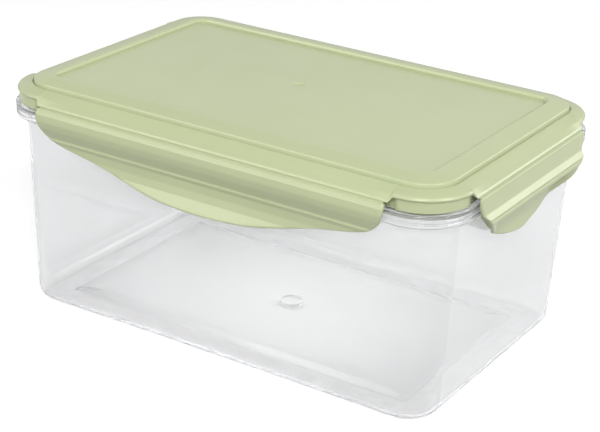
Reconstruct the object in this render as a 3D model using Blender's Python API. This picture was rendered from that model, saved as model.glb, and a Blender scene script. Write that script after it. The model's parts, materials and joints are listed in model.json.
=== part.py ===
"""Snap lid food container: a clear tub with a flanged rim, and a lid whose four flaps snap under it.

Units are metres with +Z up. The origin is the middle of the tub's foot, X runs along the long
side and Y across it. The profiles below are in millimetres. Each point is (reach, height): the
reach is how far a ring lies outside the edge of the lid's raised frame, so that the lid, the rim
and the flaps stay in step when that one rounded rectangle changes.
"""

import math

import bmesh
import bpy
from mathutils import Matrix, Vector

MM = 0.001

# The rounded rectangle that everything is measured from.
FRAME_HALF_LENGTH = 111.0
FRAME_HALF_WIDTH = 70.0
FRAME_CORNER = 16.0
SMALLEST_CORNER = 4.0
CORNER_STEPS = 6

# Heights above the table.
FOOT_HEIGHT = 0.0
RIM_TOP = 101.2
RIM_BOTTOM = 95.4
NECK_TOP = 104.4
LID_TOP = 113.6
PANEL_TOP = 111.7
PLATE = 1.6

# Tub walls.
WALL = 1.3
WALL_REACH_LOW = 0.0
WALL_REACH_HIGH = 3.7
FLOOR_RADIUS = 6.0
FLOOR_RAISE = 0.8
FLOOR_PLATE = 1.5
RIM_REACH = 8.7
NECK_REACH = 4.6

# Lid flange, skirt and plug.
FLANGE_REACH = 7.7
SKIRT_REACH = 7.1
SKIRT_INNER = 5.7
SKIRT_BOTTOM = 101.6
PLUG_REACH = 2.0
PLUG_BOTTOM = 101.0
CHANNEL_TOP = 106.2

# Flaps and their living hinges.
WING_REACH = 9.3
PIVOT_REACH = 10.0
PIVOT_HEIGHT = 105.2
LONG_FLAP_HALF_SPAN = 92.0
SHORT_FLAP_HALF_SPAN = 52.0
NOTCH = 1.5
FLAP_WALL = 1.4
BEAD_GAP = 0.35
WEB_WIDTH = 0.8
WEB_THICKNESS = 0.4

# Outer faces of the flaps, as (reach, height), from the hinge down. The short flap's bar stands
# out from its core, which is the face that the wall thickness is measured from.
LONG_FLAP_FACE = (
    (10.8, 104.6), (12.1, 102.2), (11.9, 96.6), (11.2, 90.9),
    (10.5, 87.2), (10.5, 80.2), (13.4, 76.8), (14.0, 76.0),
)
SHORT_FLAP_CORE = ((10.8, 104.6), (11.5, 96.0), (10.6, 90.4), (10.5, 86.0), (11.2, 72.0))
SHORT_FLAP_FACE = (
    (10.8, 104.6), (11.5, 96.0), (14.0, 94.0), (14.0, 91.6),
    (13.4, 90.9), (10.6, 90.4), (10.5, 86.0), (11.2, 72.0),
)
LONG_FLAP_DEPTH = 28.2
SHORT_FLAP_DEPTH = 32.0
LONG_FLAP_ARC = 330.0
SHORT_FLAP_ARC = 64.0
LONG_FLAP_CORNER = 12.0
SHORT_FLAP_CORNER = 14.0
OUTLINE_STEPS = 16

# Each side as (half its length, half the size across it, half the flap's span), in the order
# right, back, left, front, going anticlockwise.
SHORT_SIDE = (FRAME_HALF_WIDTH, FRAME_HALF_LENGTH, SHORT_FLAP_HALF_SPAN)
LONG_SIDE = (FRAME_HALF_LENGTH, FRAME_HALF_WIDTH, LONG_FLAP_HALF_SPAN)
SIDES = {"right": SHORT_SIDE, "back": LONG_SIDE, "left": SHORT_SIDE, "front": LONG_SIDE}
FRONT_TURN = -math.pi / 2


def clear_scene():
    for item in list(bpy.data.objects):
        bpy.data.objects.remove(item, do_unlink=True)


def plastic(name, colour, roughness, alpha=1.0):
    material = bpy.data.materials.new(name)
    material.use_nodes = True
    shader = material.node_tree.nodes["Principled BSDF"]
    shader.inputs["Base Color"].default_value = (*colour, 1.0)
    shader.inputs["Roughness"].default_value = roughness
    shader.inputs["Metallic"].default_value = 0.0
    shader.inputs["Alpha"].default_value = alpha
    material.diffuse_color = (*colour, alpha)
    return material


def add_object(name, form, material, sharp_angle=math.radians(30)):
    """Turn a bmesh in millimetres into a smooth-shaded object in metres."""
    bmesh.ops.scale(form, vec=(MM, MM, MM), verts=form.verts)
    bmesh.ops.recalc_face_normals(form, faces=form.faces)
    mesh = bpy.data.meshes.new(name)
    form.to_mesh(mesh)
    form.free()
    mesh.materials.append(material)
    mesh.shade_smooth()
    mesh.set_sharp_from_angle(angle=sharp_angle)
    item = bpy.data.objects.new(name, mesh)
    bpy.context.scene.collection.objects.link(item)
    return item


def ring(reach, height, wing_reach=None, wing_height=None):
    """A closed loop around the container; it can stand elsewhere along the spans of the flaps."""
    if wing_reach is None:
        wing_reach, wing_height = reach, height
    corner = max(FRAME_CORNER + reach, SMALLEST_CORNER)
    points = []
    for turn, (half_length, half_across, half_span) in enumerate(SIDES.values()):
        flat = half_length + reach - corner
        notch_end = min(half_span + NOTCH, flat - 0.4)
        wing_end = min(half_span, notch_end - NOTCH)
        stations = ((-notch_end, 0), (-wing_end, 1), (wing_end, 1), (notch_end, 0))
        side = []
        for along, on_wing in stations:
            out = half_across + (wing_reach if on_wing else reach)
            side.append(Vector((out, along, wing_height if on_wing else height)))
        centre = (half_across + reach - corner, flat)
        for step in range(CORNER_STEPS + 1):
            angle = step / CORNER_STEPS * math.pi / 2
            x = centre[0] + corner * math.cos(angle)
            side.append(Vector((x, centre[1] + corner * math.sin(angle), height)))
        quarter = Matrix.Rotation(turn * math.pi / 2, 3, "Z")
        points += [quarter @ point for point in side]
    return points


def loft(rows, closed_section=False):
    """Skin a row of rings; an open row is capped at both ends, a closed one is a hoop."""
    form = bmesh.new()
    loops = [[form.verts.new(point) for point in ring(*row)] for row in rows]
    pairs = list(zip(loops, loops[1:]))
    if closed_section:
        pairs.append((loops[-1], loops[0]))
    for low, high in pairs:
        for i in range(len(low)):
            j = (i + 1) % len(low)
            form.faces.new((low[i], low[j], high[j], high[i]))
    if not closed_section:
        form.faces.new(loops[0])
        form.faces.new(loops[-1])
    return form


def arc(centre, radius, start, end, steps):
    """Points on an arc from one angle to another, in degrees, both ends included."""
    points = []
    for step in range(steps + 1):
        angle = math.radians(start + (end - start) * step / steps)
        points.append((centre[0] + radius * math.cos(angle), centre[1] + radius * math.sin(angle)))
    return points


def make_tub(material):
    """Walls that lean out to a neck, a down-turned rim and a floor with a raised middle."""
    ledge = FLOOR_RADIUS - WALL_REACH_LOW
    panel = ledge + 12.5
    inner_low = WALL_REACH_LOW - WALL
    inner_radius = FLOOR_RADIUS - WALL
    outside = [(-panel - FLOOR_RAISE, FLOOR_RAISE), (-panel, FOOT_HEIGHT)]
    outside += arc((-ledge, FLOOR_RADIUS), FLOOR_RADIUS, -90, 0, 4)
    rim = [
        (WALL_REACH_HIGH, RIM_TOP - PLATE),
        (RIM_REACH - WALL, RIM_TOP - PLATE),
        (RIM_REACH - WALL, RIM_BOTTOM),
        (RIM_REACH, RIM_BOTTOM),
        (RIM_REACH, RIM_TOP - 0.5),
        (RIM_REACH - 0.5, RIM_TOP),
        (NECK_REACH + 0.1, RIM_TOP),
        (NECK_REACH, NECK_TOP - 0.4),
        (NECK_REACH - 0.4, NECK_TOP),
        (NECK_REACH - WALL + 0.4, NECK_TOP),
        (NECK_REACH - WALL, NECK_TOP - 0.4),
    ]
    inner_floor = FLOOR_PLATE + inner_radius
    inside = [(WALL_REACH_HIGH - WALL, RIM_BOTTOM)]
    inside += arc((inner_low - inner_radius, inner_floor), inner_radius, 0, -90, 4)
    inside += [(-panel, FLOOR_PLATE), (-panel - FLOOR_RAISE, FLOOR_PLATE + FLOOR_RAISE)]
    return add_object("tub", loft(outside + rim + inside), material)


def make_lid(material):
    """A recessed panel in a raised frame, a sloping flange with wings, a skirt and a plug."""
    wing_top = PIVOT_HEIGHT + 0.2
    wing_bottom = PIVOT_HEIGHT - 0.5
    top = [
        (-11.2, PANEL_TOP),
        (-10.6, LID_TOP - 0.3),
        (-10.2, LID_TOP),
        (-8.8, LID_TOP),
        (-0.9, 112.3),
        (-0.2, 111.9),
        (0.1, 111.3),
        (0.4, 110.4),
    ]
    flange = [
        (FLANGE_REACH - 0.6, 108.4, WING_REACH - 0.6, wing_top + 0.5),
        (FLANGE_REACH, 107.8, WING_REACH, wing_top),
        (FLANGE_REACH, 107.1, WING_REACH, wing_bottom),
        (SKIRT_REACH, 106.7, SKIRT_REACH, wing_bottom + 0.9),
    ]
    skirt = [
        (SKIRT_REACH - 0.1, SKIRT_BOTTOM + 0.3),
        (SKIRT_REACH - 0.4, SKIRT_BOTTOM),
        (SKIRT_INNER + 0.2, SKIRT_BOTTOM),
        (SKIRT_INNER, SKIRT_BOTTOM + 0.3),
        (SKIRT_INNER, CHANNEL_TOP),
    ]
    plug = [
        (PLUG_REACH, CHANNEL_TOP),
        (PLUG_REACH - 0.3, PLUG_BOTTOM + 0.4),
        (PLUG_REACH - 0.7, PLUG_BOTTOM),
        (PLUG_REACH - 1.1, PLUG_BOTTOM),
        (PLUG_REACH - 1.4, PLUG_BOTTOM + 0.4),
        (PLUG_REACH - 1.5, 107.6),
    ]
    underside = [
        (-1.3, 109.3),
        (-1.7, 110.5),
        (-9.0, LID_TOP - PLATE),
        (-10.0, PANEL_TOP - PLATE),
    ]
    return add_object("lid", loft(top + flange + skirt + plug + underside), material)


def make_gasket(material):
    """A soft ring between the tub's neck and the roof of the lid's channel."""
    low = NECK_TOP + 0.3
    high = CHANNEL_TOP - 0.3
    inner = PLUG_REACH + 0.4
    outer = SKIRT_INNER - 0.4
    section = [
        (inner + 0.3, low), (outer - 0.3, low), (outer, low + 0.3), (outer, high - 0.3),
        (outer - 0.3, high), (inner + 0.3, high), (inner, high - 0.3), (inner, low + 0.3),
    ]
    return add_object("lid_gasket", loft(section, closed_section=True), material)


def inner_face(face, wall):
    """The same path moved inwards by the wall thickness, with mitred corners."""
    moved = []
    for i, point in enumerate(face):
        before = Vector(face[max(i - 1, 0)])
        after = Vector(face[min(i + 1, len(face) - 1)])
        here = Vector(point)
        normals = []
        for start, end in ((before, here), (here, after)):
            along = end - start
            if along.length > 0:
                normals.append(Vector((along.y, -along.x)).normalized())
        normal = sum(normals, Vector((0.0, 0.0))).normalized()
        mitre = normal.dot(normals[0])
        moved.append(tuple(here + normal * wall / mitre))
    return moved


def with_bead(path):
    """Add the catch bead: a rib that ends just outside the rim and just below its edge."""
    tip = RIM_REACH + BEAD_GAP
    top = RIM_BOTTOM - BEAD_GAP
    wall_above, wall_below = reach_at(path, top), reach_at(path, top - 2.2)
    bead = [(wall_above, top), (tip, top - 0.4), (tip, top - 1.2), (wall_below, top - 2.2)]
    above = [point for point in path if point[1] > top]
    below = [point for point in path if point[1] < top - 2.2]
    return above + bead + below


def reach_at(path, height):
    """The reach of a falling path at one height."""
    for (reach_a, height_a), (reach_b, height_b) in zip(path, path[1:]):
        if height_a >= height > height_b:
            share = (height_a - height) / (height_a - height_b)
            return reach_a + (reach_b - reach_a) * share
    raise ValueError("the path doesn't reach this height")


def prism(section, low, high):
    """Extrude a closed outline of (across, up) points along the local X axis."""
    form = bmesh.new()
    ends = []
    for along in (low, high):
        ends.append([form.verts.new((along, -across, up)) for across, up in section])
    for i in range(len(section)):
        j = (i + 1) % len(section)
        form.faces.new((ends[0][i], ends[0][j], ends[1][j], ends[1][i]))
    form.faces.new(ends[0])
    form.faces.new(ends[1])
    return form


def flap_outline(half_span, depth, arc_radius, corner):
    """The flap seen from outside: straight ends, round corners and a bottom edge on a big arc."""
    centre_up = arc_radius - depth
    drop = math.sqrt((arc_radius - corner) ** 2 - (half_span - corner) ** 2)
    corner_centre = (half_span - corner, centre_up - drop)
    tangent = math.degrees(math.atan2(-drop, half_span - corner))
    right = arc(corner_centre, corner, 0, tangent, 5)
    bottom = arc((0.0, centre_up), arc_radius, tangent, -180 - tangent, OUTLINE_STEPS)
    left = [(-along, up) for along, up in reversed(right)]
    head = 3.0
    return [(half_span, head)] + right + bottom[1:-1] + left + [(-half_span, head)]


def outline_cutter(name, outline):
    """A block with the flap's outline, deep enough to hold its whole section."""
    form = bmesh.new()
    depth_range = (12.0, -12.0)
    ends = []
    for across in depth_range:
        ends.append([form.verts.new((along, across, up)) for along, up in outline])
    for i in range(len(outline)):
        j = (i + 1) % len(outline)
        form.faces.new((ends[0][i], ends[0][j], ends[1][j], ends[1][i]))
    form.faces.new(ends[0])
    form.faces.new(ends[1])
    cutter = add_object(name, form, bpy.data.materials["guide"])
    cutter.hide_render = True
    cutter.display_type = "WIRE"
    return cutter


def hinge_place(side):
    """Where a side's hinge axis is, with local X along the hinge and -Y pointing outwards."""
    turn = list(SIDES).index(side) * math.pi / 2
    out = (SIDES[side][1] + PIVOT_REACH) * MM
    spot = Vector((out * math.cos(turn), out * math.sin(turn), PIVOT_HEIGHT * MM))
    return Matrix.Translation(spot) @ Matrix.Rotation(turn - FRONT_TURN, 4, "Z")


def make_flap(side, face, core, outline, material):
    """Extrude the flap's section along the hinge and trim it to its outline."""
    path = with_bead(inner_face(core, FLAP_WALL))
    section = [(reach - PIVOT_REACH, up - PIVOT_HEIGHT) for reach, up in [*face, *reversed(path)]]
    length = SIDES[side][2] + 3.0
    flap = add_object("latch_" + side, prism(section, -length, length), material)
    flap.matrix_world = hinge_place(side)
    cutter = outline_cutter("guide_outline_" + side, outline)
    cutter.matrix_world = hinge_place(side)
    trim = flap.modifiers.new("trim", "BOOLEAN")
    trim.operation = "INTERSECT"
    trim.solver = "EXACT"
    trim.object = cutter
    return flap


def make_web(side, material):
    """The thin strip that bends between the lid's wing and the flap."""
    half_width = WEB_WIDTH / 2
    half_thickness = WEB_THICKNESS / 2
    section = [
        (-half_width, -half_thickness), (half_width, -half_thickness),
        (half_width, half_thickness), (-half_width, half_thickness),
    ]
    length = SIDES[side][2] - NOTCH
    web = add_object("hinge_web_" + side, prism(section, -length, length), material)
    web.matrix_world = hinge_place(side)
    return web


def main():
    clear_scene()
    bpy.data.materials.new("guide")
    clear = plastic("clear_polypropylene", (0.90, 0.92, 0.95), 0.22, alpha=0.35)
    sage = plastic("sage_polypropylene", (0.56, 0.61, 0.41), 0.45)
    silicone = plastic("silicone", (0.82, 0.83, 0.80), 0.6)
    make_tub(clear)
    make_lid(sage)
    make_gasket(silicone)
    long_outline = flap_outline(
        LONG_FLAP_HALF_SPAN, LONG_FLAP_DEPTH, LONG_FLAP_ARC, LONG_FLAP_CORNER
    )
    short_outline = flap_outline(
        SHORT_FLAP_HALF_SPAN, SHORT_FLAP_DEPTH, SHORT_FLAP_ARC, SHORT_FLAP_CORNER
    )
    for side in SIDES:
        is_long = side in ("front", "back")
        if is_long:
            make_flap(side, LONG_FLAP_FACE, LONG_FLAP_FACE, long_outline, sage)
        else:
            make_flap(side, SHORT_FLAP_FACE, SHORT_FLAP_CORE, short_outline, sage)
        make_web(side, sage)


main()
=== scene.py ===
"""Looks for the snap lid food container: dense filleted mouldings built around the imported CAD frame.

Meshes are laid out in millimetres in the CAD's own frame and scaled to metres once, in add_object.
Profiles are lists of (reach, height, fillet radius). The reach is how far a ring lies outside the
edge of the lid's raised frame, the same rounded rectangle that the CAD is measured from.
"""

import json
import math

import bmesh
import bpy
import numpy as np
from mathutils import Matrix, Vector


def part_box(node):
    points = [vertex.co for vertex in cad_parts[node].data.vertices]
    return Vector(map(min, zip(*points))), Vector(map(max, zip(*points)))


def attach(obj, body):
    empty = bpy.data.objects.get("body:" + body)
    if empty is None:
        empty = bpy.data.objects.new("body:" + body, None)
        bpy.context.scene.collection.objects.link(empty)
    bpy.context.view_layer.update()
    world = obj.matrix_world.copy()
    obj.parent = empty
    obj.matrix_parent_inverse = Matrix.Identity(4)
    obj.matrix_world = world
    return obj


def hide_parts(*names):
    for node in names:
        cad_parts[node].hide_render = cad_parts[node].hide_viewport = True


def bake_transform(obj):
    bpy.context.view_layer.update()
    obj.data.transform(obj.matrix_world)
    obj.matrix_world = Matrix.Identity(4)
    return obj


MM = 0.001
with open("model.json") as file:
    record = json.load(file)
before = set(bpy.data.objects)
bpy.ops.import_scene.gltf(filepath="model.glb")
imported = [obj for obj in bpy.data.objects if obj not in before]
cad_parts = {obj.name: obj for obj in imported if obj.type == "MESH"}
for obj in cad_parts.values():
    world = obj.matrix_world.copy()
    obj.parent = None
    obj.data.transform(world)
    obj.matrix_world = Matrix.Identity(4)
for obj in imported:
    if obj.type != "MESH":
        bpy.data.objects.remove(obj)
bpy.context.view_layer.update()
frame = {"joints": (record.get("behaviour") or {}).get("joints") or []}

# The rounded rectangle, from the hinge joints and the lid's box. Lengths are in millimetres.
HINGES = {joint["child"]: joint for joint in frame["joints"] if joint["type"] == "hinge"}
PIVOT_REACH = 10.0
HALF_LENGTH = HINGES["flap_right"]["pos_m"][0] / MM - PIVOT_REACH
HALF_WIDTH = HINGES["flap_back"]["pos_m"][1] / MM - PIVOT_REACH
LID_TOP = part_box("lid")[1].z / MM
CORNER = 16.0
SMALLEST_CORNER = 1.2

# Each flap's half span, and beyond its end the step from the wing to the corner and the notch.
LONG_SPAN = 92.2
SHORT_SPAN = 52.0
STEP_START = 0.3
STEP_END = 2.2
STEP_PARTS = 6
NOTCH_WIDTH = 3.2
NOTCH_EDGE = 0.35

# Densities of the lofts.
CORNER_STEPS = 20
SIDE_STEP = 9.0
SPAN_END = 6.0
FILLET_STEPS = 4
INSERTS = 2
WELD_DISTANCE = 0.0015

# Sides in the order right, back, left, front: (half the length, half across, flap's half span).
SHORT_SIDE = (HALF_WIDTH, HALF_LENGTH, SHORT_SPAN)
LONG_SIDE = (HALF_LENGTH, HALF_WIDTH, LONG_SPAN)
SIDES = {"right": SHORT_SIDE, "back": LONG_SIDE, "left": SHORT_SIDE, "front": LONG_SIDE}

# The lid's profile from the panel outwards: gutter, recess wall, frame, groove and flange, first in
# the corners and then along the flaps where it differs.
PANEL_TOP = LID_TOP - 1.9
PANEL_CROWN = 0.35
PANEL_EDGE = -11.0
PLATE = 1.6
GATE_MARK = (-4.5, 5.5)
GATE_MARK_RADIUS = 2.9
GATE_MARK_DEPTH = 0.6
MARK_CIRCLES = (6.0, 3.4, 2.9, 2.65, 2.4, 1.2)
UNDERSIDE_CIRCLES = (6.0, 2.0)
GUTTER = 0.7
FOOT_GROOVE = 4.2
LID_FRAME = [
    (PANEL_EDGE - 2.0, PANEL_TOP, 0),
    (PANEL_EDGE - 1.5, PANEL_TOP, 0),
    (PANEL_EDGE - 1.0, PANEL_TOP, 0.25),
    (PANEL_EDGE - 0.8, PANEL_TOP - GUTTER, 0.2),
    (PANEL_EDGE + 0.35, PANEL_TOP - GUTTER, 0.2),
    (-10.6, LID_TOP - 1.1, 0.4),
    (-9.7, LID_TOP - 0.02, 0.6),
    (-8.0, LID_TOP - 0.1, 3.0),
    (0.05, LID_TOP - 1.5, 0.9),
    (0.25, LID_TOP - FOOT_GROOVE, 0.12),
    (0.6, LID_TOP - FOOT_GROOVE, 0.12),
    (0.9, LID_TOP - 3.35, 0.25),
]
LID_FLANGE_CORNER = [
    (6.3, 109.0, 4.0), (7.25, 108.6, 0.5), (7.85, 107.75, 0.4), (7.75, 107.0, 0.3),
]
LID_FLANGE_WING = [
    (6.3, 107.2, 4.0), (8.65, 106.0, 0.4), (9.35, 105.2, 0.4), (9.25, 104.7, 0.2),
]
LID_FLANGE_WING_END = [(6.3, 108.1, 4.0)] + LID_FLANGE_WING[1:]
WING_BLEND = 16.0
LID_UNDER = [
    (7.1, 106.7, 0.3), (7.05, 101.6, 0.4), (5.75, 101.6, 0.4), (5.7, 106.2, 0.6),
    (2.0, 106.2, 0.6), (1.7, 101.0, 0.5), (0.7, 101.0, 0.5), (0.5, 108.0, 0.8),
    (-1.4, 110.5, 0.6), (-9.0, LID_TOP - PLATE, 0.4), (-9.5, PANEL_TOP - PLATE, 0.4),
]
LID_UNDER_WING = [
    (5.45, 106.05, 0.3), (5.4, 101.6, 0.2), (4.95, 101.6, 0.2), (4.9, 106.0, 0.3),
] + LID_UNDER[4:]

# The tub, from the middle of its underside out, up and back down to its inner floor.
WALL_LOW = 0.0
WALL_HIGH = 3.7
WALL = 1.3
FOOT_EDGE = -17.0
FLOOR_RAISE = 0.8
FLOOR_PLATE = 1.5
FLOOR_RADIUS = 6.0
RIM = 8.7
RIM_TOP = 101.2
RIM_BOTTOM = 95.4
NECK = 4.6
NECK_TOP = 104.4
TUB_UNDERSIDE = [
    (FOOT_EDGE - 1.0, FLOOR_RAISE, 0.5), (FOOT_EDGE, 0.0, 0.5),
    (WALL_LOW - 0.24, 0.0, FLOOR_RADIUS), (WALL_HIGH, 99.4, 0.8), (RIM - WALL, 99.6, 0.7),
    (RIM - WALL, RIM_BOTTOM, 0.4), (RIM, RIM_BOTTOM, 0.5),
]
TUB_RIM_FACE = [
    (RIM, 97.0, 0.25), (RIM - 0.35, 97.3, 0.2), (RIM - 0.35, 97.8, 0.2), (RIM, 98.1, 0.25),
    (RIM, 98.9, 0.25), (RIM - 0.35, 99.2, 0.2), (RIM - 0.35, 99.7, 0.2), (RIM, 100.0, 0.25),
]
TUB_INSIDE = [
    (RIM, RIM_TOP, 0.6), (NECK + 0.05, RIM_TOP, 0.4), (NECK, NECK_TOP, 0.5),
    (NECK - WALL, NECK_TOP, 0.5), (WALL_HIGH - WALL - 0.1, 95.0, 3.0),
    (WALL_LOW - WALL - 0.2, FLOOR_PLATE, FLOOR_RADIUS - WALL),
    (FOOT_EDGE - 0.4, FLOOR_PLATE, 0.5), (FOOT_EDGE - 1.4, FLOOR_PLATE + FLOOR_RAISE, 0.5),
]
GATE_RING_RADIUS = 5.6
GATE_RING_HEIGHT = 0.35
FLOOR_CIRCLES = (12.0, 6.3, 5.9, 5.6, 5.3, 4.9, 2.0)

# The gasket, between the tub's neck and the roof of the lid's channel.
GASKET_INNER = 2.5
GASKET_OUTER = 4.6
GASKET_TOP = 105.9
GASKET_LIP = 0.25
GASKET_GAP = 0.3

# The flaps: outer and inner faces point for point, from the hinge down.
LONG_OUTER = [
    (10.55, 104.95, 0), (12.1, 102.3, 0.6), (12.3, 99.0, 5.0), (11.5, 95.8, 5.0),
    (9.35, 91.2, 0.8), (9.5, 90.1, 0.6), (8.7, 88.3, 1.2), (8.4, 84.5, 4.0),
    (9.2, 81.0, 0.5), (12.7, 76.9, 3.0), (13.6, 74.0, 0),
]
LONG_INNER = [
    (9.75, 103.75, 0), (10.55, 101.6, 0.7), (10.6, 98.6, 5.0), (9.9, 95.2, 0.4),
    (7.9, 94.7, 0.3), (7.9, 93.8, 0.3), (8.0, 91.4, 1.0), (7.2, 87.5, 3.0),
    (7.3, 80.4, 0.9), (11.3, 76.0, 2.0), (12.2, 74.0, 0),
]
SHORT_OUTER = [
    (10.55, 104.95, 0), (11.15, 103.6, 0.6), (11.6, 96.5, 1.5), (13.9, 94.3, 0.6),
    (13.55, 93.3, 0.4), (14.0, 92.5, 0.5), (13.7, 91.0, 0.5), (9.0, 90.0, 1.2),
    (6.6, 85.5, 6.0), (6.2, 79.0, 8.0), (7.0, 71.5, 0),
]
SHORT_INNER = [
    (9.75, 103.75, 0), (9.75, 102.8, 0.6), (10.1, 96.5, 1.0), (9.9, 95.3, 0.3),
    (8.0, 94.8, 0.3), (7.9, 94.1, 0.3), (7.8, 93.0, 0.5), (7.1, 89.0, 1.2),
    (5.2, 85.0, 5.0), (4.8, 79.0, 8.0), (5.6, 71.5, 0),
]

# The flaps' outlines: depth in the middle, square and fourth power terms, power of the rounded ends.
LONG_OUTLINE = (29.0, 2.63e-3, 0.145e-6, 18.0)
SHORT_OUTLINE = (32.2, 0.0, 0.0, 1.5)

# The short flap's ledge, under which the recess fades out between these distances from the ends.
LEDGE_DEPTH = 12.0
LEDGE_REACH = 13.4
LEDGE_FADE = (26.0, 8.0)

# The rounded edge all along a flap, and the rows that follow it.
FLAP_STATIONS = 52
FLAP_EDGE = 0.8
FLAP_EDGE_SHARES = (1.3, 0.9, 0.6, 0.35, 0.16, 0.05, 0.0)
FLAP_TOP_ROWS = (0.03, 0.1, 0.22, 0.4, 0.6)
STEEPEST_STRETCH = 12.0

# The hinge films, from the lid's wing to the flap, as (reach, height).
FILM_THICKNESS = 0.35
FILM_START = (8.95, 104.72)
FILM_END = (11.0, 104.1)
FILM_DIP = 0.5
FILM_STEPS = 12
FILM_COLUMNS = 25
FILM_SHORTER = 1.2

# The studio, in metres and watts: each softbox's name, place and power.
FLOOR_SIZE = 4000.0
SOFTBOX_SIZE = 0.5
SOFTBOX_AIM = (0, 0, 0.06)
SOFTBOXES = [
    ("softbox_front", (0.65, -1.1, 1.05), 12.2),
    ("softbox_left", (-0.85, -0.75, 1.25), 4.2),
    ("softbox_left_low", (-0.8, -1.3, 0.6), 4.0),
    ("softbox_right", (1.1, -0.1, 1.0), 7.4),
    ("softbox_back", (0.8, 1.2, 0.65), 4.1),
]
INNER_FILL_PLACE = (0.0, 0.0, 0.099)
INNER_FILL_SIZE = 0.13
INNER_FILL_POWER = 0.18

# The sky, from straight down at 0 through the horizon at 0.5 to straight up at 1: (place, grey).
WORLD_SHADES = [(0.42, 0.16), (0.5, 0.3), (0.6, 0.7), (0.7, 0.74), (0.8, 0.2), (0.92, 0.06)]
WORLD_STRENGTH = 1.32

# The camera, in metres and degrees.
CAMERA_PLACE = (0.391845, -0.631575, 0.366927)
CAMERA_AZIMUTH = 31.647
CAMERA_ELEVATION = 23.252
CAMERA_ROLL = 2.461
CAMERA_LENS = 100.48
CAMERA_SENSOR = 36.0
CAMERA_NEAR = 0.01


# ---------------------------------------------------------------- mesh helpers

def fillet_path(corners, inserts=INSERTS, steps=FILLET_STEPS):
    """Round each inner corner of a path, and split the straights between them."""
    points = [Vector(corner[:2]) for corner in corners]
    groups = [points[:1]]
    for k in range(1, len(corners) - 1):
        groups.append(fillet(points[k - 1], points[k], points[k + 1], corners[k][2], steps))
    groups.append(points[-1:])
    path = []
    for group, following in zip(groups, groups[1:]):
        path += group
        for step in range(1, inserts + 1):
            path.append(group[-1].lerp(following[0], step / (inserts + 1)))
    return path + groups[-1]


def fillet(before, here, after, radius, steps):
    """The points of an arc that rounds one corner, never reaching past half of either side."""
    back, ahead = before - here, after - here
    half = back.angle(ahead) / 2
    if radius == 0 or half > math.radians(89.5):
        return [here.copy() for _ in range(steps + 1)]
    reach = min(radius / math.tan(half), 0.48 * back.length, 0.48 * ahead.length)
    radius = reach * math.tan(half)
    middle = (back.normalized() + ahead.normalized()).normalized()
    centre = here + middle * (radius / math.sin(half))
    start = here + back.normalized() * reach - centre
    end = here + ahead.normalized() * reach - centre
    turn = start.angle(end)
    points = []
    for step in range(steps + 1):
        share = step / steps
        weight_a = math.sin((1 - share) * turn) / math.sin(turn)
        weight_b = math.sin(share * turn) / math.sin(turn)
        points.append(centre + start * weight_a + end * weight_b)
    return points


def smooth_step(value, low, high):
    """0 below low, 1 above high, and an even rise in between."""
    share = min(max((value - low) / (high - low), 0.0), 1.0)
    return share * share * (3 - 2 * share)


def side_stations(half_length, half_span):
    """Places along one side, each with its shares in the flap's wing, its notch and the wing's end."""
    flat = half_length - CORNER
    inner_end = half_span - SPAN_END
    step_start = half_span + STEP_START
    step_end = half_span + STEP_END
    marks = [inner_end, half_span - SPAN_END / 2, half_span, step_start]
    for k in range(1, STEP_PARTS + 1):
        marks.append(step_start + (STEP_END - STEP_START) * k / STEP_PARTS)
    notch = half_span + NOTCH_WIDTH
    marks += [mark for mark in (notch - 0.3, notch, notch + NOTCH_EDGE) if mark < flat - 0.05]
    count = math.ceil(inner_end / SIDE_STEP)
    marks += [inner_end * k / count for k in range(1, count)]
    marks = sorted(mark for mark in marks if mark < flat - 0.02)
    places = [-mark for mark in reversed(marks)] + [0.0] + marks
    notch = min(notch, flat - NOTCH_EDGE)
    stations = []
    for place in places:
        wing = 1 - smooth_step(abs(place), step_start, step_end)
        recess = 1 - smooth_step(abs(place), notch, notch + NOTCH_EDGE)
        wing_end = smooth_step(abs(place), half_span - WING_BLEND, half_span)
        stations.append((place / flat, wing, recess, wing_end))
    return stations


STATIONS = {side: side_stations(*SIDES[side][::2]) for side in SIDES}


def ring(reach, height, wing=None, follow=1, end=None):
    """A closed loop around the container.

    Along the flaps it moves to wing, a (reach, height), and towards the wing's ends to end.
    """
    corner = max(CORNER + reach, SMALLEST_CORNER)
    points = []
    for turn, side in enumerate(SIDES):
        half_length, half_across, _ = SIDES[side]
        flat = half_length + reach - corner
        quarter = Matrix.Rotation(turn * math.pi / 2, 3, "Z")
        for station in STATIONS[side]:
            share = station[follow] if wing else 0.0
            out, up = (reach, height)
            if share > 0:
                target = Vector(wing).lerp(Vector(end or wing), station[3])
                out += (target.x - reach) * share
                up += (target.y - height) * share
            points.append(quarter @ Vector((half_across + out, station[0] * flat, up)))
        centre = (half_across + reach - corner, flat)
        for step in range(CORNER_STEPS + 1):
            angle = step / CORNER_STEPS * math.pi / 2
            x = centre[0] + corner * math.cos(angle)
            y = centre[1] + corner * math.sin(angle)
            points.append(quarter @ Vector((x, y, height)))
    return points


def rings(path, wing_path=None, follow=1, end_path=None):
    """One ring for each point of a path."""
    if wing_path is None:
        return [ring(*point) for point in path]
    ends = end_path or wing_path
    groups = zip(path, wing_path, ends)
    return [ring(*point, tuple(wing), follow, tuple(end)) for point, wing, end in groups]


def cap_rings(edge, centre, circle_radii, height, rect_shares=(0.86, 0.7, 0.54, 0.38, 0.24)):
    """Rings that fill a loop: first scaled copies of it, then circles around the centre."""
    loops = []
    middle = Vector((centre[0], centre[1], 0))
    for share in rect_shares:
        loops.append([lift(middle.lerp(Vector((p.x, p.y, 0)), share), height) for p in edge])
    directions = [(Vector((p.x, p.y, 0)) - middle).normalized() for p in edge]
    for radius in circle_radii:
        loops.append([lift(middle + d * radius, height) for d in directions])
    return loops


def lift(point, height):
    """The point with its height taken from a function of its place."""
    return Vector((point.x, point.y, height(point)))


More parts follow.
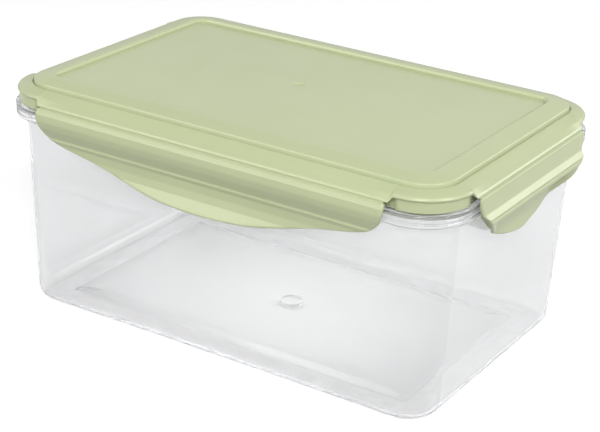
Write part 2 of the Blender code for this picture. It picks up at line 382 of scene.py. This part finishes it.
def skin(form, loops, closed=True):
    """Join each loop of points to the next with quads."""
    made = [[form.verts.new(point) for point in loop] for loop in loops]
    span = len(loops[0]) if closed else len(loops[0]) - 1
    for low, high in zip(made, made[1:]):
        for i in range(span):
            j = (i + 1) % len(low)
            form.faces.new((low[i], low[j], high[j], high[i]))
    return made


def add_object(name, form, material, body=None, node=None, sharp=None):
    """Turn a bmesh in millimetres into a smooth-shaded piece in metres, riding on its body."""
    bmesh.ops.remove_doubles(form, verts=form.verts, dist=WELD_DISTANCE)
    bmesh.ops.scale(form, vec=(MM, MM, MM), verts=form.verts)
    bmesh.ops.recalc_face_normals(form, faces=form.faces)
    mesh = bpy.data.meshes.new(name)
    form.to_mesh(mesh)
    form.free()
    mesh.materials.append(material)
    mesh.shade_smooth()
    if sharp:
        mesh.set_sharp_from_angle(angle=math.radians(sharp))
    piece = bpy.data.objects.new(name, mesh)
    bpy.context.scene.collection.objects.link(piece)
    if node:
        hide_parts(node)
    if body:
        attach(piece, body)
    return piece


# ---------------------------------------------------------------- materials

def new_material(name):
    """A node material with its tree and its Principled shader."""
    material = bpy.data.materials.new(name)
    material.use_nodes = True
    tree = material.node_tree
    return material, tree, tree.nodes["Principled BSDF"]


def noise(tree, scale, detail=2.0):
    """A noise texture in the piece's own coordinates."""
    place = tree.nodes.new("ShaderNodeTexCoord")
    texture = tree.nodes.new("ShaderNodeTexNoise")
    texture.inputs["Scale"].default_value = scale
    texture.inputs["Detail"].default_value = detail
    tree.links.new(place.outputs["Object"], texture.inputs["Vector"])
    return texture


def ramp(tree, source, low, high, start=0.3, end=0.7):
    """Spread a noise's middle range from one colour or grey to another."""
    ends = tree.nodes.new("ShaderNodeValToRGB")
    ends.color_ramp.elements[0].position = start
    ends.color_ramp.elements[1].position = end
    ends.color_ramp.elements[0].color = (*low, 1.0)
    ends.color_ramp.elements[1].color = (*high, 1.0)
    tree.links.new(source.outputs["Fac"], ends.inputs["Fac"])
    return ends


def spread(tree, source, low, high):
    """Map a noise onto a range of values."""
    mapped = tree.nodes.new("ShaderNodeMapRange")
    mapped.inputs["From Min"].default_value = 0.3
    mapped.inputs["From Max"].default_value = 0.7
    mapped.inputs["To Min"].default_value = low
    mapped.inputs["To Max"].default_value = high
    tree.links.new(source.outputs["Fac"], mapped.inputs["Value"])
    return mapped


def bump(tree, shader, source, strength, distance, below=None):
    """Raise the surface by a noise, on top of the bump below if there is one."""
    node = tree.nodes.new("ShaderNodeBump")
    node.inputs["Strength"].default_value = strength
    node.inputs["Distance"].default_value = distance
    tree.links.new(source.outputs["Fac"], node.inputs["Height"])
    if below:
        tree.links.new(below.outputs["Normal"], node.inputs["Normal"])
    tree.links.new(node.outputs["Normal"], shader.inputs["Normal"])
    return node


def make_sage():
    """Satin polypropylene: an even colour, faint flow clouds and a fine eroded mould texture."""
    material, tree, shader = new_material("sage_polypropylene")
    clouds = noise(tree, 22.0, 3.0)
    colour = ramp(tree, clouds, (0.466, 0.517, 0.306), (0.488, 0.541, 0.322), 0.2, 0.8)
    tree.links.new(colour.outputs["Color"], shader.inputs["Base Color"])
    gloss = spread(tree, noise(tree, 60.0, 2.0), 0.285, 0.33)
    tree.links.new(gloss.outputs["Result"], shader.inputs["Roughness"])
    waves = bump(tree, shader, noise(tree, 9.0, 1.0), 0.1, 0.0006)
    bump(tree, shader, noise(tree, 1500.0, 2.0), 0.12, 0.00004, below=waves)
    shader.inputs["IOR"].default_value = 1.49
    return material


def make_clear():
    """Clear polypropylene: slightly milky, glossy, with faint flow lines in its surface."""
    material, tree, shader = new_material("clear_polypropylene")
    shader.inputs["Base Color"].default_value = (0.96, 0.96, 0.96, 1.0)
    shader.inputs["Transmission Weight"].default_value = 0.86
    shader.inputs["IOR"].default_value = 1.45
    gloss = spread(tree, noise(tree, 35.0, 4.0), 0.02, 0.05)
    tree.links.new(gloss.outputs["Result"], shader.inputs["Roughness"])
    waves = bump(tree, shader, noise(tree, 14.0, 1.0), 0.12, 0.0006)
    bump(tree, shader, noise(tree, 420.0, 2.0), 0.05, 0.0001, below=waves)
    depth = tree.nodes.new("ShaderNodeVolumeAbsorption")
    depth.inputs["Color"].default_value = (0.50, 0.53, 0.64, 1.0)
    depth.inputs["Density"].default_value = 56.0
    tree.links.new(depth.outputs["Volume"], tree.nodes["Material Output"].inputs["Volume"])
    return material


def make_silicone():
    """Off-white silicone with a dull, lightly clouded surface."""
    material, tree, shader = new_material("silicone")
    clouds = noise(tree, 40.0, 3.0)
    colour = ramp(tree, clouds, (0.78, 0.79, 0.76), (0.84, 0.85, 0.82))
    tree.links.new(colour.outputs["Color"], shader.inputs["Base Color"])
    gloss = spread(tree, noise(tree, 90.0, 3.0), 0.5, 0.62)
    tree.links.new(gloss.outputs["Result"], shader.inputs["Roughness"])
    bump(tree, shader, noise(tree, 1200.0, 2.0), 0.15, 0.00008)
    return material


def make_floor_paint():
    """A white floor that gives off a little light, like a light table."""
    material, tree, shader = new_material("pale_floor")
    clouds = noise(tree, 3.0, 2.0)
    colour = ramp(tree, clouds, (0.93, 0.93, 0.93), (0.95, 0.95, 0.95))
    tree.links.new(colour.outputs["Color"], shader.inputs["Base Color"])
    shader.inputs["Roughness"].default_value = 0.9
    shader.inputs["Specular IOR Level"].default_value = 0.1
    shader.inputs["Emission Color"].default_value = (1.0, 1.0, 1.0, 1.0)
    shader.inputs["Emission Strength"].default_value = 0.25
    return material


# ---------------------------------------------------------------- pieces

def panel_height(base, crown):
    """A height that swells by crown in the middle of the panel and is flat at its edges."""
    half_x, half_y = HALF_LENGTH + PANEL_EDGE, HALF_WIDTH + PANEL_EDGE

    def height(point):
        swell_x = max(1 - (point.x / half_x) ** 2, 0.0)
        swell_y = max(1 - (point.y / half_y) ** 2, 0.0)
        return base + crown * swell_x * swell_y

    return height


def gate_mark(base):
    """The shallow round dimple that the mould's gate leaves in the panel."""
    def height(point):
        away = math.hypot(point.x - GATE_MARK[0], point.y - GATE_MARK[1])
        inside = 1 - smooth_step(away, GATE_MARK_RADIUS - 0.5, GATE_MARK_RADIUS)
        return base(point) - GATE_MARK_DEPTH * inside

    return height


def make_lid(sage):
    """Panel, raised frame, flange with its four wings, skirt, gasket channel and plug."""
    marked = gate_mark(panel_height(PANEL_TOP, PANEL_CROWN))
    above = fillet_path(LID_FRAME + LID_FLANGE_CORNER + [LID_UNDER[0]])
    above_wing = fillet_path(LID_FRAME + LID_FLANGE_WING + [LID_UNDER_WING[0]])
    above_end = fillet_path(LID_FRAME + LID_FLANGE_WING_END + [LID_UNDER_WING[0]])
    under = fillet_path([LID_FLANGE_CORNER[-1]] + LID_UNDER)
    under_wing = fillet_path([LID_FLANGE_WING[-1]] + LID_UNDER_WING)
    # The upper paths end at the first point of the last flange corner's fillet, and the lower ones
    # start at the next corner. In between, the loft changes from the wing's shares to the notch's.
    lead = 1 + INSERTS
    rest = lead + FILLET_STEPS
    edge = ring(*LID_FRAME[0][:2])
    upper = list(reversed(cap_rings(edge, GATE_MARK, MARK_CIRCLES, marked)))
    loops = upper + rings(above[:-rest], above_wing[:-rest], 1, above_end[:-rest])
    loops += rings(under[lead:], under_wing[lead:], 2)
    below = panel_height(PANEL_TOP - PLATE, PANEL_CROWN)
    loops += cap_rings(loops[-1], (0.0, 0.0), UNDERSIDE_CIRCLES, below)
    form = bmesh.new()
    made = skin(form, loops)
    form.faces.new(made[0])
    form.faces.new(made[-1])
    return add_object("lid_shell", form, sage, "lid", "lid")


def make_gasket(silicone):
    """A soft ring with two lips in the roof of the lid's channel."""
    low = NECK_TOP + GASKET_GAP
    between = low + GASKET_LIP
    section = [
        (GASKET_INNER, between, 0), (2.9, low, 0.15), (3.5, between, 0.15), (4.1, low, 0.15),
        (GASKET_OUTER, between, 0.15), (GASKET_OUTER, GASKET_TOP, 0.25),
        (GASKET_INNER, GASKET_TOP, 0.25), (GASKET_INNER, between, 0),
    ]
    path = fillet_path(section, inserts=1, steps=3)
    form = bmesh.new()
    skin(form, rings(path))
    return add_object("gasket_ring", form, silicone, "lid", "lid_gasket")


def make_tub(clear):
    """The clear moulding in one closed skin, with a ring mark on its inner floor."""
    path = fillet_path(TUB_UNDERSIDE + TUB_RIM_FACE + TUB_INSIDE, steps=5)
    loops = rings(path)

    def flat(point):
        return FLOOR_RAISE

    def ringed(point):
        away = abs(math.hypot(point.x, point.y) - GATE_RING_RADIUS)
        mark = GATE_RING_HEIGHT * (1 - smooth_step(away, 0.05, 0.7))
        return FLOOR_PLATE + FLOOR_RAISE + mark

    under = cap_rings(loops[0], (0.0, 0.0), FLOOR_CIRCLES, flat)
    inner = cap_rings(loops[-1], (0.0, 0.0), FLOOR_CIRCLES, ringed)
    form = bmesh.new()
    made = skin(form, list(reversed(under)) + loops + inner)
    form.faces.new(made[0])
    form.faces.new(made[-1])
    return add_object("tub_shell", form, clear, "tub", "tub")


def outline_depth(place, half_span, outline):
    """How far the flap hangs below its hinge line at one place along it."""
    depth, square, fourth, power = outline
    along = min(abs(place), half_span)
    body = depth - square * along ** 2 + fourth * along ** 4
    return body * math.sqrt(max(1 - (along / half_span) ** power, 0.0))


def outline_points(half_span, outline, count=400):
    """The flap's whole edge as (along, depth) points, its hinge edge included."""
    places = [math.sin(k / count * math.pi / 2) * half_span for k in range(count + 1)]
    lower = [(place, outline_depth(place, half_span, outline)) for place in places]
    upper = [(place, 0.0) for place in np.linspace(0, half_span, 200)]
    half = lower + upper
    return np.array(half + [(-along, depth) for along, depth in half])


def side_frame(side):
    """Local X along the hinge, -Y outwards, with the origin on the frame's edge at height 0."""
    turn = list(SIDES).index(side) * math.pi / 2
    out = SIDES[side][1]
    spot = Vector((out * math.cos(turn), out * math.sin(turn), 0))
    return Matrix.Translation(spot) @ Matrix.Rotation(turn + math.pi / 2, 4, "Z")


def flap_stations(half_span):
    """Places along a flap, closer together towards its ends."""
    shares = [1 - (1 - k / FLAP_STATIONS) ** 2 for k in range(FLAP_STATIONS + 1)]
    half = [half_span * share for share in shares]
    return [-place for place in reversed(half[1:])] + half


def fade_recess(place, half_span, rows, faces):
    """Bring the recess under a short flap's ledge out towards the ledge at the flap's ends."""
    far, near = LEDGE_FADE
    share = smooth_step(abs(place), half_span - far, half_span - near)
    below = np.clip((np.array(rows) - LEDGE_DEPTH) / 2.0, 0, 1)
    shift = share * below * (LEDGE_REACH - faces[0][:, 0])
    for face in faces:
        face[:, 0] += np.maximum(shift, 0)


def make_flap(side, outer, inner, outline, sage):
    """A curved plate between two faces, cut to its outline and rounded all along its edge."""
    half_span = SIDES[side][2]
    outer_path = np.array([tuple(p) for p in fillet_path(outer, inserts=3)])
    inner_path = np.array([tuple(p) for p in fillet_path(inner, inserts=3)])
    top = outer_path[0][1]
    depths = top - outer_path[:, 1]
    index = np.arange(len(depths), dtype=float)
    edge = outline_points(half_span, outline)
    columns_out, columns_in = [], []
    for place in flap_stations(half_span):
        depth = outline_depth(place, half_span, outline)
        step = 0.01
        slope = (outline_depth(abs(place) - step, half_span, outline) - depth) / step
        stretch = min(math.hypot(1, slope), STEEPEST_STRETCH)
        ends = [max(depth - share * FLAP_EDGE * stretch, 0.0) for share in FLAP_EDGE_SHARES]
        levels = sorted(set(np.round(np.concatenate([depths, FLAP_TOP_ROWS]), 5)))
        rows = [min(level, ends[0]) for level in levels] + ends
        places = np.interp(rows, depths, index)
        outs = np.stack([np.interp(places, index, outer_path[:, k]) for k in (0, 1)], 1)
        ins = np.stack([np.interp(places, index, inner_path[:, k]) for k in (0, 1)], 1)
        if outline is SHORT_OUTLINE:
            fade_recess(place, half_span, rows, (outs, ins))
        away = np.hypot(edge[:, 0] - place, edge[:, 1] - np.array(rows)[:, None]).min(1)
        share = np.clip(away / FLAP_EDGE, 0, 1)
        full = np.sqrt(1 - (1 - share) ** 2)[:, None]
        full[np.array(rows) <= 1e-6] = 0
        full[np.array(rows) >= depth - 1e-6] = 0
        middle = (outs + ins) / 2
        half = (outs - ins) / 2
        columns_out.append([(place, -r, z) for r, z in middle + half * full])
        columns_in.append([(place, -r, z) for r, z in middle - half * full])
    form = bmesh.new()
    skin(form, columns_out, closed=False)
    skin(form, columns_in, closed=False)
    form.transform(side_frame(side))
    name = "flap_" + side + "_plate"
    return add_object(name, form, sage, "flap_" + side, "latch_" + side)


def make_film(side, sage):
    """The thin living hinge, bending between the lid's wing and the flap."""
    half_span = SIDES[side][2] - FILM_SHORTER
    start, end = Vector(FILM_START), Vector(FILM_END)
    across = (end - start).normalized()
    normal = Vector((-across.y, across.x)) * FILM_THICKNESS / 2
    upper, lower = [], []
    for k in range(FILM_STEPS + 1):
        share = k / FILM_STEPS
        dip = normal * (-FILM_DIP * math.sin(share * math.pi))
        middle = start.lerp(end, share) + dip
        upper.append(middle + normal)
        lower.append(middle - normal)
    section = upper + list(reversed(lower))
    columns = []
    for place in np.linspace(-half_span, half_span, FILM_COLUMNS):
        columns.append([Vector((place, -r, z)) for r, z in section])
    form = bmesh.new()
    made = skin(form, columns)
    form.faces.new(made[0])
    form.faces.new(made[-1])
    seat = side_frame(side)
    form.transform(seat)
    piece = add_object("film_" + side, form, sage, None, "hinge_web_" + side, sharp=40)
    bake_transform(piece)


# ---------------------------------------------------------------- stage, lights and camera

def make_stage(paint):
    """A wide plain floor, which shows in reflections but adds no diffuse light to the container."""
    form = bmesh.new()
    bmesh.ops.create_grid(form, x_segments=1, y_segments=1, size=FLOOR_SIZE)
    floor = add_object("floor", form, paint)
    floor.visible_diffuse = False


def area_light(name, place, size, power):
    """A square softbox facing the container."""
    lamp = bpy.data.lights.new(name, "AREA")
    lamp.shape = "SQUARE"
    lamp.size = size
    lamp.energy = power
    item = bpy.data.objects.new(name, lamp)
    item.location = place
    aim = Vector(SOFTBOX_AIM) - Vector(place)
    item.rotation_euler = aim.to_track_quat("-Z", "Y").to_euler()
    bpy.context.scene.collection.objects.link(item)
    return item


def make_lights():
    """Softboxes around the container, and a small one inside it that shows no reflection."""
    for name, place, power in SOFTBOXES:
        area_light(name, place, SOFTBOX_SIZE, power)
    inner = area_light("inner_fill", INNER_FILL_PLACE, INNER_FILL_SIZE, INNER_FILL_POWER)
    inner.visible_glossy = False


def make_world():
    """A pale band above the horizon with a darker sky and ground, so that edges catch light."""
    world = bpy.data.worlds.new("studio")
    world.use_nodes = True
    bpy.context.scene.world = world
    tree = world.node_tree
    background = tree.nodes["Background"]
    place = tree.nodes.new("ShaderNodeTexCoord")
    split = tree.nodes.new("ShaderNodeSeparateXYZ")
    heights = tree.nodes.new("ShaderNodeMapRange")
    heights.inputs["From Min"].default_value = -1.0
    shades = tree.nodes.new("ShaderNodeValToRGB")
    stops = shades.color_ramp.elements
    for stop, (position, shade) in zip(stops, (WORLD_SHADES[0], WORLD_SHADES[-1])):
        stop.position = position
        stop.color = (shade, shade, shade, 1.0)
    for position, shade in WORLD_SHADES[1:-1]:
        stops.new(position).color = (shade, shade, shade, 1.0)
    tree.links.new(place.outputs["Generated"], split.inputs["Vector"])
    tree.links.new(split.outputs["Z"], heights.inputs["Value"])
    tree.links.new(heights.outputs["Result"], shades.inputs["Fac"])
    tree.links.new(shades.outputs["Color"], background.inputs["Color"])
    background.inputs["Strength"].default_value = WORLD_STRENGTH


def make_camera():
    """A three-quarter view from the front right, a little above, with a slight roll."""
    azimuth = math.radians(CAMERA_AZIMUTH)
    elevation = math.radians(CAMERA_ELEVATION)
    roll = math.radians(CAMERA_ROLL)
    back = Vector((
        math.sin(azimuth) * math.cos(elevation),
        -math.cos(azimuth) * math.cos(elevation),
        math.sin(elevation),
    ))
    right = (-back).cross(Vector((0, 0, 1))).normalized()
    up = right.cross(-back)
    turned_right = right * math.cos(roll) + up * math.sin(roll)
    turned_up = up * math.cos(roll) - right * math.sin(roll)
    camera = bpy.data.cameras.new("camera")
    camera.lens = CAMERA_LENS
    camera.sensor_width = CAMERA_SENSOR
    camera.clip_start = CAMERA_NEAR
    item = bpy.data.objects.new("camera", camera)
    turn = Matrix((turned_right, turned_up, back)).transposed().to_4x4()
    item.matrix_world = Matrix.Translation(Vector(CAMERA_PLACE)) @ turn
    bpy.context.scene.collection.objects.link(item)
    bpy.context.scene.camera = item


def main():
    """Build the pieces and the studio."""
    sage = make_sage()
    make_tub(make_clear())
    make_lid(sage)
    make_gasket(make_silicone())
    for side in SIDES:
        if side in ("front", "back"):
            make_flap(side, LONG_OUTER, LONG_INNER, LONG_OUTLINE, sage)
        else:
            make_flap(side, SHORT_OUTER, SHORT_INNER, SHORT_OUTLINE, sage)
        make_film(side, sage)
    make_stage(make_floor_paint())
    make_lights()
    make_world()
    make_camera()
    bpy.context.scene.view_settings.view_transform = "Standard"


main()
